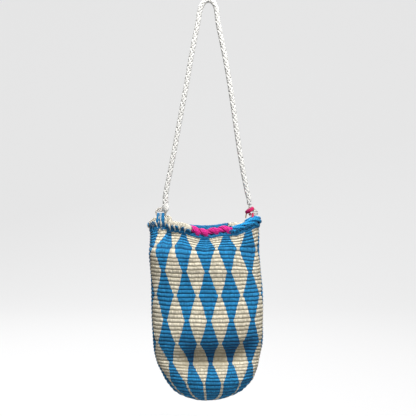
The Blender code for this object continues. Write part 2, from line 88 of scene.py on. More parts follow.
# The wall's sections below the shoulder, in thousandths: shares of the drop, of half the width, of half the
# depth in front and behind, and of half the width that a section stands off centre.
WALL_ROWS = (
    (0, 962, 930, 930, -83), (100, 960, 990, 960, -58), (220, 968, 1000, 980, -36),
    (340, 978, 1000, 1000, -24), (460, 972, 1000, 1000, -21), (560, 966, 980, 980, -16),
    (620, 952, 900, 950, -16), (670, 930, 780, 930, -20), (710, 906, 740, 900, -20),
    (755, 876, 840, 870, -13), (800, 828, 900, 820, -4), (850, 770, 870, 750, 1),
    (895, 680, 770, 660, -6), (935, 570, 630, 550, -14), (968, 400, 460, 400, -26),
    (990, 200, 240, 220, -30), (1000, 0, 0, 0, -30),
)
WALL_SHARES = np.array(WALL_ROWS) / 1000
NECK_STRAIGHT_SHARE = 0.05

# The rim's yarns, and where each gives way to the next: the front from the left corner, then the back.
RIM_SAMPLES = 1440
LEFT_CORNER_X = -0.0885
WHITE_END_X = -0.0262
MAGENTA_END_X = 0.0386
ROLL_END_X = 0.066
CORNER_END_X = 0.06
HUMP_END_X = 0.033
COIL_STEP = 0.9
COIL_WANDER = ((0.1, 0.37), (0.05, 1.3))
CORE_RADIUS = 0.0023
RIM_STITCHES = 40
LEAF_SIZES = ((0.005, 0.0098), (0.0036, 0.0076), (0.0022, 0.0052), (0.0009, 0.003))
LEAF_RADIUS = 0.00095
LEAF_GROWTH = ((-0.089, -0.086, -0.082, -0.078), (1.35, 1.25, 0.7, 1.0))
LEAF_UNDER_LOBES = 0.6
SPIKE_RADIUS = 0.0019
SPIKE_REACH = 0.0056
SPIKE_LEAN = 0.0024
LOBES = ((-0.0285, -0.0142), (-0.0145, -0.0026), (0.0008, 0.0132), (0.018, 0.0332))
LOBE_STRANDS = 4
LOBE_RADIUS = 0.0014
LOBE_HALF_WIDTH = 0.0043
LOBE_BULGE = 0.0019
LOBE_REACH = 0.003
ROLL_STRANDS = 5
ROLL_RADIUS = 0.0023
ROLL_PITCH = 0.085
ROLL_LOW = 0.0032
CORNER_SWELL = 0.0014
LUMP_X = -0.0668
LUMP_REACH = 0.0034
LUMP_HEIGHT = 0.002
# Starts, pitch and yarn radius of the wound edgings.
WHITE_WINDING = (7, 0.019, 0.0014)
BLUE_WINDING = (6, 0.023, 0.0017)
MAGENTA_WINDING = (5, 0.034, 0.0017)
MAGENTA_SUNK = -0.001

# The strap's braid: its pitch, its cords, how far a cord lies from its strand's middle and how it weaves.
STRAP_SAMPLES = 640
BRAID_PITCH = 0.0285
BRAID_CORD = 0.00168
BRAID_REACH = 0.00212
BRAID_WEAVE = 0.0003
BRAID_EDGE = 0.00265
BRAID_EDGE_RADIUS = 0.0014
BRAID_PAIR_TURNS = (0.6, 0.86)
BRAID_PAIR_SPAN = (-0.06, 0.06)
BRAID_PLY_LENGTH = 0.009
# How wide the braid is by the distance from its right and from its left end, and where it rolls over.
RIGHT_END_SHAPE = ((0, 0.012), (0.88, 1.0))
LEFT_END_SHAPE = ((0.008, 0.03), (1.2, 1.0))
CROWN_ROLL = (0.44, 0.56)
# A point of the strap gets full painted shade, or none, at these distances from its centre line.
SHADE_DEEP = 0.0024
SHADE_PROUD = 0.0035
SHADE_AXES = np.array([1.5, 1.0, 1.0])
SHADE_POWER = 1.1

# The strap's ends, nearly with the CAD model's sizes.
KNOT_RISE = 0.005
KNOT_HEIGHT = 0.0105
KNOT_STRANDS = 9
KNOT_STRAND_RADIUS = 0.0012
KNOT_SHAPE = ((0, 0.12, 0.35, 0.55, 0.8, 1), (0.0006, 0.0024, 0.0044, 0.0047, 0.0042, 0.0036))
WHIPPING_RADIUS = 0.0052
WHIPPING_HEIGHT = 0.011
WHIPPING_TURNS = 4
WHIPPING_BAND = 0.0043
WHIPPING_MIDDLE = 0.0076
WHIPPING_HALF_LENGTH = 0.0068
WHIPPING_SLOPE = math.radians(33)
WHIPPING_THREAD = 0.00105
# How far out the whipping may reach by its height over the swing's line, so that the pouch swings free.
WHIPPING_FREE = ((0.0015, 0.003, 0.0048, 0.007), (0.0009, 0.0018, 0.0032, 0.0043))
LEFT_LOOP = (LEFT_END_X, 0.015, -1, 0.0112)
RIGHT_LOOP = (RIGHT_END_X, 0.0122, 1, 0.0092)
TAIL_RADIUS = 0.0011
TAIL_LENGTH = 0.011
TAIL_ASIDE = 0.0052
LASHING_GAP = 0.0005
LASHING_PROUD = 0.0001
LASHING_CRESTS = 2.1
INNER_TURN_RISE = 0.0067
INNER_TURN_RADIUS = 0.0018
HITCH_SIZE = 0.0012
HITCH_THREAD = 0.0009
HITCH_PLACE = (RIGHT_END_X + 0.0012, 0.0, SWING_Z + 0.0016)

# The looped fabric: how its rows lie down the wall, and what each row holds.
ROW_COUNT = 49
ROWS_DOWN = ((0, 0.0), (5.5, 0.612), (7.4, 1.0), (11.5, 1.102), (17.5, 1.262), (23.5, 1.431))
ROWS_DOWN += ((29.5, 1.5875), (35.5, 1.723), (41.5, 1.846))
STITCHES = 192
COLUMNS = 12
DIAMOND_ROWS = 12
WIDEST_ROW = 5.5
BLUE_STITCHES = (14, 12, 10, 8, 6.5, 5, 3)
COLUMN_STITCHES = STITCHES / COLUMNS
LAST_DIAMOND_ROW = 41.5
LOW_BLUE = ((LAST_DIAMOND_ROW, 44, 47, 49), (0.875, 0.86, 0.78, 0.68))
LOW_SPREAD = 0.045
RIGHT_DIP_ROWS = 1.05
RIGHT_DIP_SHAPE = ((0, 5.5, 8, 14), (0, 1, 1, 0))
# How far round from the middle of the front each lies, how far it reaches, and how squarely it ends.
LOW_SPREAD_PLACE = (0.15, 0.08, 2)
RIGHT_DIP_PLACE = (0.2, 0.06, 2)
FOLD_PLACE = (0.04, 0.145, 4)
PUFF_PLACE = (0.01, 0.15, 4)
STITCH_LEAN = 0.35
ROW_LEAN = STITCH_LEAN / STITCHES
STITCH_SLANT = 0.8
EDGE_SLOPE = 0.75
COLUMN_DRIFT = ((0, 17, 30, 40, 49), (0.0045, 0.0057, 0.0065, 0.018, 0.03))
RIB_HEIGHT = 0.0013
RIB_POWER = 0.65
STITCH_HEIGHT = 0.0007
STITCH_POWER = 0.8
# The hand's slow waves: turns round, turns a row down, phase and share; then their height and depth in rows.
HAND_WAVES = ((2, 0.31, 0.4, 0.3), (5, -0.23, 2.1, 0.25), (9, 0.52, 4.0, 0.25), (14, -0.9, 1.0, 0.2))
WAVE_HEIGHT = 0.0006
WAVE_ROWS = 0.1
FABRIC = 0.0032
FLAT_FRONT = 2.35
SURFACE_COLUMNS = 720
TOP_RAISE = 0.0026
FOLD_ROWS = ((24, 0), (29, -0.0014), (35.0, -0.006), (36.6, -0.0012), (38.6, 0.0018))
FOLD_ROWS += ((41.5, 0.0034), (43.2, 0.0034), (45, 0.0008), (47, 0))
FOLD_SLANT = ((-0.1, 0.01, 0.045, 0.115, 0.17), (-0.9, 0.0, -0.2, 0.8, 2.4))
FOLD_DEPTH = -0.006
# The fold's painted shade: its strength, and how it grows with the fold's depth.
FOLD_SHADE = 0.5
FOLD_SHADE_POWER = 0.45
PUFF_ROWS = ((0, 0), (4, 0.002), (8, 0.0052), (13, 0.0022), (19, -0.0012), (24, 0))
BANDS = ((0, 15, 192, 3), (15, 29, 192, 3), (29, 43, 192, 3), (43, 49, 96, 4))
ROW_STEPS = 7
INSIDE_STEPS = 3

PLY_DEPTH = 0.16
# A strand's painted shade on its sides starts where they face out from its core by less than this cosine.
CORE_SHADE_FROM = 0.75
MERGED = 0.000002
BUMP = 0.00012
SEED = 11
TAU = 2 * math.pi


def draws(step):
    """The random numbers of one sub-part."""
    return np.random.default_rng(SEED + step)


# Curves and their frames.


def smooth_points(points, steps, closed=False):
    """A smooth curve through the points, with so many steps from each to the next."""
    rows = np.array(points, dtype=float)
    if closed:
        rows = np.vstack([rows[-1:], rows, rows[:2]])
    else:
        rows = np.vstack([2 * rows[0] - rows[1], rows, 2 * rows[-1] - rows[-2]])
    fine = []
    for i in range(1, len(rows) - 2):
        before, here, after, last = rows[i - 1 : i + 3]
        t = np.linspace(0, 1, steps, endpoint=False)[:, None]
        bend = (2 * before - 5 * here + 4 * after - last) * t * t
        twist = (3 * here - before - 3 * after + last) * t**3
        fine.append((2 * here + (after - before) * t + bend + twist) / 2)
    ends = rows[1:2] if closed else rows[-2:-1]
    return np.vstack(fine + [ends])


def lengths(points):
    """The length along a polyline at each of its points."""
    steps = np.linalg.norm(np.diff(points, axis=0), axis=1)
    return np.concatenate([[0], np.cumsum(steps)])


def evened(fine, samples):
    """Points spaced evenly along a polyline, by the length of its first three columns."""
    along = lengths(fine[:, :3])
    wanted = np.linspace(0, along[-1], samples)
    return np.stack([np.interp(wanted, along, fine[:, k]) for k in range(fine.shape[1])], axis=1)


def path_length(points):
    return float(np.linalg.norm(np.diff(points, axis=0), axis=1).sum())


def unit(vectors):
    return vectors / np.maximum(np.linalg.norm(vectors, axis=-1, keepdims=True), 1e-12)


def carried_frames(points, closed=False):
    """Two unit vectors square to a path at each point, turned as little as the path allows."""
    if closed:
        along = unit(np.roll(points, -1, axis=0) - np.roll(points, 1, axis=0))
    else:
        along = unit(np.gradient(points, axis=0))
    guide = np.array([0, 0, 1.0]) if abs(along[0][2]) < 0.9 else np.array([0, 1.0, 0])
    side = np.zeros_like(points)
    side[0] = unit(np.cross(along[0], guide))
    for i in range(1, len(points)):
        carried = side[i - 1] - along[i] * np.dot(side[i - 1], along[i])
        side[i] = carried / max(np.linalg.norm(carried), 1e-12)
    return side, np.cross(side, along)


def column(table, k, where):
    """Smooth values of one column of a table at places in its first column."""
    rows = np.array(table, dtype=float)
    places = rows[:, 0]
    where = np.clip(where, places[0], places[-1])
    slopes = np.gradient(rows[:, k], places)
    i = np.clip(np.searchsorted(places, where, side="right") - 1, 0, len(places) - 2)
    width = places[i + 1] - places[i]
    t = (where - places[i]) / width
    start = rows[i, k] * (1 + 2 * t) * (1 - t) ** 2 + rows[i + 1, k] * t * t * (3 - 2 * t)
    return start + width * (slopes[i] * t * (1 - t) ** 2 - slopes[i + 1] * t * t * (1 - t))


# Meshes from grids.


def add_grid(bm, places, tile, groove, **face_facts):
    """Adds a grid laid on rows of places. Its UV map, weave, counts tile[0] across and tile[1] along."""
    rows, columns = places.shape[:2]
    flat = bmesh.new()
    flat.loops.layers.uv.new("weave")
    bmesh.ops.create_grid(flat, x_segments=columns - 1, y_segments=rows - 1, size=1, calc_uvs=True)
    mesh = bpy.data.meshes.new("laid_grid")
    flat.to_mesh(mesh)
    flat.free()
    mesh.vertices.foreach_set("co", places.reshape(-1).astype(np.float32))
    uvs = np.zeros(len(mesh.loops) * 2, np.float32)
    mesh.uv_layers[0].data.foreach_get("uv", uvs)
    uvs = uvs.reshape(-1, 2) * np.array(tile, np.float32)
    mesh.uv_layers[0].data.foreach_set("uv", uvs.reshape(-1))
    # The painted shade goes on the points, the other facts on the faces.
    for name, values in {**face_facts, "groove": groove}.items():
        layer = mesh.attributes.new(name, "FLOAT", "POINT" if name == "groove" else "FACE")
        layer.data.foreach_set("value", values.reshape(-1).astype(np.float32))
    bm.from_mesh(mesh)
    bpy.data.meshes.remove(mesh)


def placed(name, data):
    """A new object in the scene."""
    made = bpy.data.objects.new(name, data)
    bpy.context.scene.collection.objects.link(made)
    return made


def finished(name, bm, body, slot, node):
    """Merges the seams, and sets the piece on its body with its finish."""
    bmesh.ops.remove_doubles(bm, verts=bm.verts, dist=MERGED)
    bmesh.ops.recalc_face_normals(bm, faces=bm.faces)
    mesh = bpy.data.meshes.new(name)
    bm.to_mesh(mesh)
    bm.free()
    mesh.shade_smooth()
    mesh.materials.append(FINISHES[slot])
    made = placed(name, mesh)
    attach(made, body)
    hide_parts(node)
    return made


def add_strand(
    bm, path, radius, sides=8, plies=3, turn_length=0.006, closed=False, shade=0.5, dye=0.0, core=None
):
    """A yarn with ply ridges and rounded ends, painted shade between plies and on sides facing a core."""
    path = np.asarray(path, dtype=float)
    side, up = carried_frames(path, closed)
    along = lengths(path)
    radii = np.full(len(path), radius) if np.isscalar(radius) else np.array(radius, dtype=float)
    if not closed:
        end = np.minimum(along, along[-1] - along)
        soft = np.clip(end / np.maximum(radii, 1e-6), 0, 1)
        radii = radii * np.sqrt(1 - (1 - soft) ** 2)
    angle = np.linspace(0, TAU, sides + 1)[None, :]
    twist = TAU * along[:, None] / turn_length
    ridge = np.abs(np.cos(plies * (angle - twist) / 2))
    reach = radii[:, None] * (1 - PLY_DEPTH * (1 - ridge))
    cos, sin = np.cos(angle), np.sin(angle)
    places = path[:, None] + side[:, None] * (reach * cos)[..., None]
    places += up[:, None] * (reach * sin)[..., None]
    places[:, -1] = places[:, 0]
    # Painted shade between the plies, and on the sides that face the core.
    groove = 1 - ridge
    if core is not None:
        out = unit(path - core)
        facing = (out * side).sum(axis=1)[:, None] * cos + (out * up).sum(axis=1)[:, None] * sin
        groove = np.maximum(groove, np.clip((CORE_SHADE_FROM - facing) / CORE_SHADE_FROM, 0, 1))
    if closed:
        places = np.concatenate([places, places[:1]])
        groove = np.concatenate([groove, groove[:1]])
    tile = (1, max(1, round(along[-1] / (TAU * float(np.max(radii))))))
    faces = (len(places) - 1, sides)
    add_grid(bm, places, tile, groove, tone=np.full(faces, shade), yarn=np.full(faces, dye))


def round_path(path, side, up, side_reach, up_reach, angle):
    """A path laid round another one, by each point's angle from its side towards its top."""
    return path + side * (side_reach * np.cos(angle))[:, None] + up * (up_reach * np.sin(angle))[:, None]


# Shader groups and finishes.


KINDS = {"Weave": "NodeSocketVector", "Colour": "NodeSocketColor", "Deep": "NodeSocketColor"}


def group_sockets(name, inputs, outputs):
    """A node group and its two ends. A socket is a number unless KINDS has its label."""
    group = bpy.data.node_groups.new(name, "ShaderNodeTree")
    for label, value in inputs.items():
        kind = KINDS.get(label, "NodeSocketFloat")
        socket = group.interface.new_socket(name=label, in_out="INPUT", socket_type=kind)
        if value is not None:
            socket.default_value = value
    for label in outputs:
        kind = KINDS.get(label, "NodeSocketFloat")
        group.interface.new_socket(name=label, in_out="OUTPUT", socket_type=kind)
    return group, group.nodes.new("NodeGroupInput").outputs, group.nodes.new("NodeGroupOutput").inputs


def feed(tree, inputs, values):
    """Sets inputs by their label or place, or links them where the value is a socket."""
    for label, value in values.items():
        if isinstance(value, bpy.types.NodeSocket):
            tree.links.new(value, inputs[label])
        else:
            inputs[label].default_value = value


def add_node(tree, kind, group=None, **values):
    node = tree.nodes.new(f"ShaderNode{kind}")
    if group:
        node.node_tree = group
    feed(tree, node.inputs, values)
    return node.outputs


def math_node(tree, operation, first, second, kind="Math"):
    node = tree.nodes.new(f"ShaderNode{kind}")
    node.operation = operation
    feed(tree, node.inputs, {0: first, 1: second})
    return node.outputs[0]


def mixed(tree, factor, first, second, mode="MIX"):
    """A colour mix, by its colour sockets, which share their names with the number ones."""
    node = tree.nodes.new("ShaderNodeMix")
    node.data_type = "RGBA"
    node.blend_type = mode
    feed(tree, node.inputs, {0: factor, 6: first, 7: second})
    return node.outputs[2]


def fibre_group():
    """Fine fibres that run along a yarn, and fine specks of uneven dye."""
    inputs = {"Weave": None, "Across": 14.0, "Along": 2.0}
    group, given, out = group_sockets("Fibre", inputs, ("Streak", "Dye"))
    spread = add_node(group, "CombineXYZ", X=given["Across"], Y=given["Along"])[0]
    scaled = math_node(group, "MULTIPLY", given["Weave"], spread, kind="VectorMath")
    streak = add_node(group, "TexNoise", Vector=scaled, Scale=1.0, Detail=3.0)[0]
    place = add_node(group, "TexCoord")["Object"]
    dye = add_node(group, "TexNoise", Vector=place, Scale=300.0, Detail=2.0)[0]
    feed(group, out, {"Streak": streak, "Dye": dye})
    return group


def tone_group():
    """Lightens or darkens a yarn's colour by its fibres and tone, and mixes in its painted shade colour."""
    inputs = {"Colour": (0.5, 0.5, 0.5, 1), "Deep": (0.1, 0.1, 0.1, 1), "Streak": 0.5, "Dye": 0.5}
    inputs |= {"Tone": 0.5, "Painted_Shade": 0.0, "Variety": 0.5}
    group, given, out = group_sockets("Yarn Tone", inputs, ("Colour",))
    level = given["Streak"]
    steps = (("ADD", given["Dye"]), ("ADD", given["Tone"]), ("SUBTRACT", 1.5))
    for operation, value in steps + (("MULTIPLY", given["Variety"]), ("ADD", 1.0)):
        level = math_node(group, operation, level, value)
    grey = add_node(group, "CombineColor", Red=level, Green=level, Blue=level)[0]
    lit = mixed(group, 1.0, given["Colour"], grey, "MULTIPLY")
    feed(group, out, {"Colour": mixed(group, given["Painted_Shade"], lit, given["Deep"])})
    return group


FIBRE = fibre_group()
TONE = tone_group()


def attribute(tree, name):
    node = tree.nodes.new("ShaderNodeAttribute")
    node.attribute_name = name
    return node.outputs["Fac"]


def srgb(red, green, blue):
    """A linear colour from one in steps of 255."""
    parts = [c / 255 for c in (red, green, blue)]
    return tuple(c / 12.92 if c <= 0.04045 else ((c + 0.055) / 1.055) ** 2.4 for c in parts) + (1.0,)


def new_material(name):
    """A material, its node tree and the inputs of its shader."""
    made = bpy.data.materials.new(name)
    made.use_nodes = True
    return made, made.node_tree, made.node_tree.nodes["Principled BSDF"].inputs


def yarn_finish(name, colour, deep, roughness, variety, second=None, across=14.0, along=2.0):
    """A yarn's material. With second colours, the piece's yarn attribute picks between the two pairs."""
    made, tree, shader = new_material(name)
    weave = tree.nodes.new("ShaderNodeUVMap")
    weave.uv_map = "weave"
    fibre = add_node(tree, "Group", FIBRE, Weave=weave.outputs[0], Across=across, Along=along)
    colours = [srgb(*colour), srgb(*deep)]
    if second:
        pick = attribute(tree, "yarn")
        colours = [mixed(tree, pick, one, srgb(*other)) for one, other in zip(colours, second)]
    facts = {"Streak": fibre["Streak"], "Dye": fibre["Dye"], "Variety": variety}
    facts |= {"Tone": attribute(tree, "tone"), "Painted_Shade": attribute(tree, "groove")}
    tone = add_node(tree, "Group", TONE, Colour=colours[0], Deep=colours[1], **facts)
    rough = math_node(tree, "MULTIPLY", fibre["Streak"], 0.25)
    looks = {
        "Base Color": tone["Colour"],
        "Roughness": math_node(tree, "ADD", rough, roughness - 0.12),
        "Normal": add_node(tree, "Bump", Distance=BUMP, Strength=0.8, Height=fibre["Streak"])[0],
        "Sheen Weight": 0.10,
        "Sheen Roughness": 0.5,
        "Specular IOR Level": 0.25,
    }
    feed(tree, shader, looks)
    return made


# Each slot's colour, its painted shade colour in the grooves, its roughness and how uneven its dye is.
# Second pairs of colour and painted shade colour, which a piece's yarn attribute picks.
CRIMSON = ((228, 40, 100), (128, 8, 44))
BLUE = ((44, 146, 202), (4, 46, 84))
YARNS = (
    ("white_rope", (224, 223, 219), (52, 52, 50), 0.8, 0.20),
    ("white_cord", (232, 230, 223), (166, 162, 156), 0.8, 0.24),
    ("grey_cord", (218, 213, 205), (146, 140, 133), 0.8, 0.28),
    ("blue_yarn", (34, 132, 186), (6, 50, 88), 0.85, 0.50),
    ("bright_blue_yarn", (28, 160, 218), (8, 74, 128), 0.8, 0.40),
    ("white_yarn", (226, 221, 206), (150, 140, 118), 0.85, 0.26),
    ("magenta_yarn", (238, 48, 156), (140, 8, 80), 0.75, 0.60, CRIMSON),
    ("tan_thread", (196, 152, 98), (120, 86, 50), 0.85, 0.35),
    ("looped_fibre", (236, 228, 206), (140, 130, 106), 0.88, 0.90, BLUE, 0.8, 5.0),
)
FINISHES = {values[0]: yarn_finish(*values) for values in YARNS}
FINISHES["cream_cord"] = FINISHES["white_yarn"]


# Each lashing's turns: where a turn crosses the bar and the roll along X, and how far it weaves in and out.
OUTER_TURNS = ((-0.0817, -0.0847, 0), (-0.0811, -0.0832, 0), (-0.0804, -0.0817, 0), (-0.0797, -0.0803, 0))
OUTER_TURNS += ((-0.0778, -0.0788, 0),)
WHITE_TURNS = ((-0.0791, -0.0803, 0.0013), (-0.0764, -0.0771, 0))
INNER_TURNS = ((-0.0750, -0.0756, 0), (-0.0738, -0.0742, 0), (-0.0726, -0.0727, 0), (-0.0714, -0.0712, 0))
RIGHT_TURNS = ((0.0696, 0.0692, 0), (0.0712, 0.0713, 0))
LASHINGS = (
    ("outer_lashing", "blue_yarn", "left_outer_lashing", True, 0.0008, OUTER_TURNS),
    ("white_lashing", "white_yarn", "left_white_lashing", True, 0.0008, WHITE_TURNS),
    ("inner_lashing", "blue_yarn", "left_inner_lashing", True, 0.0008, INNER_TURNS),
    ("magenta_lashing", "magenta_yarn", "right_lashing", False, 0.00085, RIGHT_TURNS),
)


# The strap.


def build_strap():
    """A round braid of four strands, each of two fat cords. It turns a quarter over the crown."""
    path = evened(smooth_points(STRAP_ROUTE, 24), STRAP_SAMPLES)
    along = np.linspace(0, path_length(path), len(path))
    share = along / along[-1]
    across = np.zeros_like(path)
    across[:, 1] = 1
    beside = unit(np.cross(across, unit(np.gradient(path, axis=0))))
    drawn_in = np.interp(along[-1] - along, *RIGHT_END_SHAPE) * np.interp(along, *LEFT_END_SHAPE)
    rolled = np.interp(share, CROWN_ROLL, (0, math.pi / 2))
    bm = bmesh.new()
    rng = draws(0)
    for way, start in ((1, 0), (1, math.pi), (-1, 0), (-1, math.pi)):
        apart = np.interp(way * (0.5 - share), BRAID_PAIR_SPAN, BRAID_PAIR_TURNS)
        for side in (-1, 1):
            turn = way * TAU * along / BRAID_PITCH + start + side * apart + math.pi / 2 + rolled
            over = way * np.cos(2 * TAU * along / BRAID_PITCH)
            reach = (BRAID_REACH + BRAID_WEAVE * over) * drawn_in
            centre = round_path(path, beside, across, reach, reach, turn)
            shade = rng.uniform(0.4, 0.6)
            add_strand(bm, centre, BRAID_CORD, sides=10, turn_length=BRAID_PLY_LENGTH, shade=shade)
    for edge in (-BRAID_EDGE, BRAID_EDGE):
        cord = path + beside * (edge * drawn_in)[:, None]
        add_strand(bm, cord, BRAID_EDGE_RADIUS, turn_length=BRAID_PLY_LENGTH)
    made = finished("braided_strap", bm, "strap", "white_rope", "strap_cord")
    shade_inside(made, path)
    return made, path


def shade_inside(piece, path):
    """Paints shade into the grooves of a laid cord, by how near each point lies to its centre line."""
    mesh = piece.data
    places = np.zeros(len(mesh.vertices) * 3)
    mesh.vertices.foreach_get("co", places)
    places = places.reshape(-1, 3)
    nearest = np.full(len(places), np.inf)
    for start in range(0, len(path), 40):
        part = path[start : start + 41]
        gap = np.linalg.norm((places[:, None] - part[None]) * SHADE_AXES, axis=2).min(axis=1)
        nearest = np.minimum(nearest, gap)
    inside = np.clip((SHADE_PROUD - nearest) / (SHADE_PROUD - SHADE_DEEP), 0, 1) ** SHADE_POWER
    mesh.attributes["groove"].data.foreach_set("value", inside.astype(np.float32))


STRAP, STRAP_PATH = build_strap()


# The pouch's looped wall.


def rim_curve(samples):
    """The rim core's centre line with the edging's upright radius as a fourth column."""
    rows = []
    for x_share, y_share, sag_share, tall_share in RIM_SHARES:
        tall = EDGING_LOW_RADIUS + (EDGING_TALL_RADIUS - EDGING_LOW_RADIUS) * tall_share
        z = RIM_TOP_Z - tall - RIM_SAG * sag_share
        rows.append((RIM_CENTRE_X + POUCH_WIDTH / 2 * x_share, POUCH_DEPTH / 2 * y_share, z, tall))
    return evened(smooth_points(rows, 24, closed=True), samples + 1)[:-1]


def level_frames(points):
    """The outward and upward unit vectors of a closed path that runs anticlockwise from above."""
    along = unit(np.roll(points, -1, axis=0) - np.roll(points, 1, axis=0))
    side = unit(np.cross(along, np.array([0, 0, 1.0])))
    return side, np.cross(side, along)


def section(half_width, front, back, centre_x, z, count):
    """A level oval of the wall, flatter in front, from the middle of the front towards +X."""
    turn = np.linspace(0, TAU, 721)
    wide, deep = (np.sign(way) * np.abs(way) ** (2 / FLAT_FRONT) for way in (np.sin(turn), np.cos(turn)))
    depth = np.where(np.cos(turn) > 0, front, back)
    ring = np.stack([centre_x + half_width * wide, -depth * deep, np.full(len(turn), z)], axis=1)
    return evened(ring, count + 1)[:-1]


def wall_table():
    """The wall's outer surface as a table of rings, with the row that each lies at."""
    count = SURFACE_COLUMNS
    rim = rim_curve(count)
    up = level_frames(rim[:, :3])[1]
    top = rim[:, :3] - up * (rim[:, 3] + 2 * BASE_ROW_RADIUS + 3 * GAP - TOP_RAISE)[:, None]
    along = np.roll(top, -1, axis=0) - np.roll(top, 1, axis=0)
    top += unit(np.stack([along[:, 1], -along[:, 0], np.zeros(count)], axis=1)) * WALL / 2
    body = 1 - (1 - np.linspace(0, 1, 220)) ** 1.6
    levels = SWING_Z - SHOULDER_DROP - (POUCH_DROP - SHOULDER_DROP) * body
    sizes = np.stack([column(WALL_SHARES, k, body) for k in (1, 2, 3, 4)], axis=1)
    sizes *= np.array([POUCH_WIDTH, POUCH_DEPTH, POUCH_DEPTH, POUCH_WIDTH]) / 2
    rings = [section(*size, z, count) for size, z in zip(sizes, levels)]
    neck = []
    shares = np.linspace(0, 1, 31)[:-1]
    for share in shares:
        eased = max(0.0, (share - NECK_STRAIGHT_SHARE) / (1 - NECK_STRAIGHT_SHARE))
        eased = eased * eased * (3 - 2 * eased)
        ring = top * (1 - eased) + rings[0] * eased
        ring[:, 2] = top[:, 2] * (1 - share) + rings[0][:, 2] * share
        neck.append(ring)
    table = np.array(neck + rings)
    down = lengths(table[:, 0])
    known = np.interp([q for row, q in ROWS_DOWN], np.concatenate([shares, 1 + body]), down)
    rows = np.interp(down, [*known, down[-1]], [row for row, q in ROWS_DOWN] + [ROW_COUNT])
    return table, rows


TABLE, TABLE_ROWS = wall_table()


def on_wall(u, v):
    """Places on the wall's smooth outer surface, by share of the way round and by row."""
    level = np.interp(v, TABLE_ROWS, np.arange(len(TABLE_ROWS)))
    low = np.clip(level.astype(int), 0, len(TABLE) - 2)
    t = (level - low)[..., None]
    turn = np.mod(u, 1) * SURFACE_COLUMNS
    left = turn.astype(int) % SURFACE_COLUMNS
    right = (left + 1) % SURFACE_COLUMNS
    s = (turn - np.floor(turn))[..., None]
    upper = TABLE[low, left] * (1 - s) + TABLE[low, right] * s
    lower = TABLE[low + 1, left] * (1 - s) + TABLE[low + 1, right] * s
    return upper * (1 - t) + lower * t


def wall_normals(u, v):
    """Outward unit vectors of the wall's smooth surface."""
    round_step = on_wall(u + 0.004, v) - on_wall(u - 0.004, v)
    down_step = on_wall(u, np.minimum(v + 0.5, ROW_COUNT)) - on_wall(u, np.maximum(v - 0.5, 0))
    out = np.cross(down_step, round_step)
    flat = np.linalg.norm(out, axis=-1) < 1e-12
    out[flat] = (0, 0, -1)
    return unit(out)


def off_front(u):
    """How far round from the middle of the front a place lies, from -0.5 to 0.5."""
    return np.mod(u + 0.5, 1) - 0.5


def bell(where, middle, reach, power):
    """A rise to 1 at the middle, which falls off towards its reach."""
    return np.exp(-(((where - middle) / reach) ** power))


def fold_push(u, v):
    """How far the wall is pushed in along its fold, and swells under it."""
    turned = off_front(u)
    near = np.clip(1.2 * bell(turned, *FOLD_PLACE), 0, 1)
    return near * column(FOLD_ROWS, 1, v + np.interp(turned, *FOLD_SLANT))


def front_push(u, v):
    """How far the front stands out of the CAD model's form: a puff under the rim, then the fold."""
    return bell(off_front(u), *PUFF_PLACE) * column(PUFF_ROWS, 1, v) + fold_push(u, v)


def hand_wave(u, v):
    """The slow unevenness of a hand-looped wall, from -1 to 1."""
    return sum(share * np.sin(TAU * n * u + down * v + phase) for n, down, phase, share in HAND_WAVES)


def row_dip(u, v):
    """How many rows' depth the rows hang lower by, beside the right corner."""
    return RIGHT_DIP_ROWS * bell(u, *RIGHT_DIP_PLACE) * np.interp(v, *RIGHT_DIP_SHAPE)


def blue_share(row):
    """The share of a column that is blue at a height in the fabric, counted in rows."""
    if row < LAST_DIAMOND_ROW:
        away = abs((row - WIDEST_ROW + DIAMOND_ROWS / 2) % DIAMOND_ROWS - DIAMOND_ROWS / 2)
        return np.interp(away, range(len(BLUE_STITCHES)), BLUE_STITCHES) / COLUMN_STITCHES
    return np.interp(row, *LOW_BLUE)


def low_spread(middle, row):
    """How far the columns stand to the right of even, low on the right of the front."""
    grown = np.clip((row - LAST_DIAMOND_ROW) / 5, 0, 1)
    return LOW_SPREAD * grown * bell(off_front(middle), *LOW_SPREAD_PLACE)


def pattern(height, places, stitch, stitches):
    """What is blue at a height in rows, where an edge leans within a row, and each stitch's tone."""
    row = math.floor(height)
    leaning = row + 0.5 + EDGE_SLOPE * (height - row - 0.5)
    middle = places + height * ROW_LEAN
    drift = np.interp(leaning, *COLUMN_DRIFT)
    phase = np.mod((middle - drift - low_spread(middle, leaning)) * COLUMNS + 0.5, 1)
    blue = np.abs(phase - 0.5) < blue_share(leaning) / 2
    tones = draws(row).random(stitches)
    rows_tone = draws(500 + row).random()
    slow = 0.5 + 0.5 * np.sin(TAU * (3 * middle + 0.37 * row))
    return blue, 0.45 * tones[stitch] + 0.35 * rows_tone + 0.2 * slow


def fabric_outside(base, rows, stitches):
    """A band's looped outside: its places, and its painted shade, darker in the grooves and the fold."""
    v = np.repeat(rows[:, None], len(base), axis=1)
    u = base + v * ROW_LEAN
    wavy = v + WAVE_ROWS * hand_wave(3 * u, v) * np.clip(v, 0, 1) * np.clip(ROW_COUNT - v, 0, 1)
    wavy += row_dip(u, v)
    within = v - np.floor(v + 1e-9)
    rib = np.abs(np.sin(math.pi * within)) ** RIB_POWER
    phase = base * stitches + STITCH_SLANT * (within - 0.5)
    pillow = np.abs(np.sin(math.pi * phase)) ** STITCH_POWER
    narrow = np.clip((ROW_COUNT - v) / 4, 0.25, 1)
    high = RIB_HEIGHT * (rib - 0.75) + STITCH_HEIGHT * rib * (pillow - 0.6)
    high = high * narrow + WAVE_HEIGHT * hand_wave(u, v) + front_push(u, v)
    # Painted shade between the rows and the stitches, and in the fold.
    folded = np.clip(fold_push(u, v) / FOLD_DEPTH, 0, 1) ** FOLD_SHADE_POWER
    groove = np.clip(1.20 * (1 - rib) ** 1.5 + 0.7 * (1 - pillow) * rib + FOLD_SHADE * folded, 0, 1)
    return on_wall(u, wavy) + wall_normals(u, wavy) * high[..., None], groove


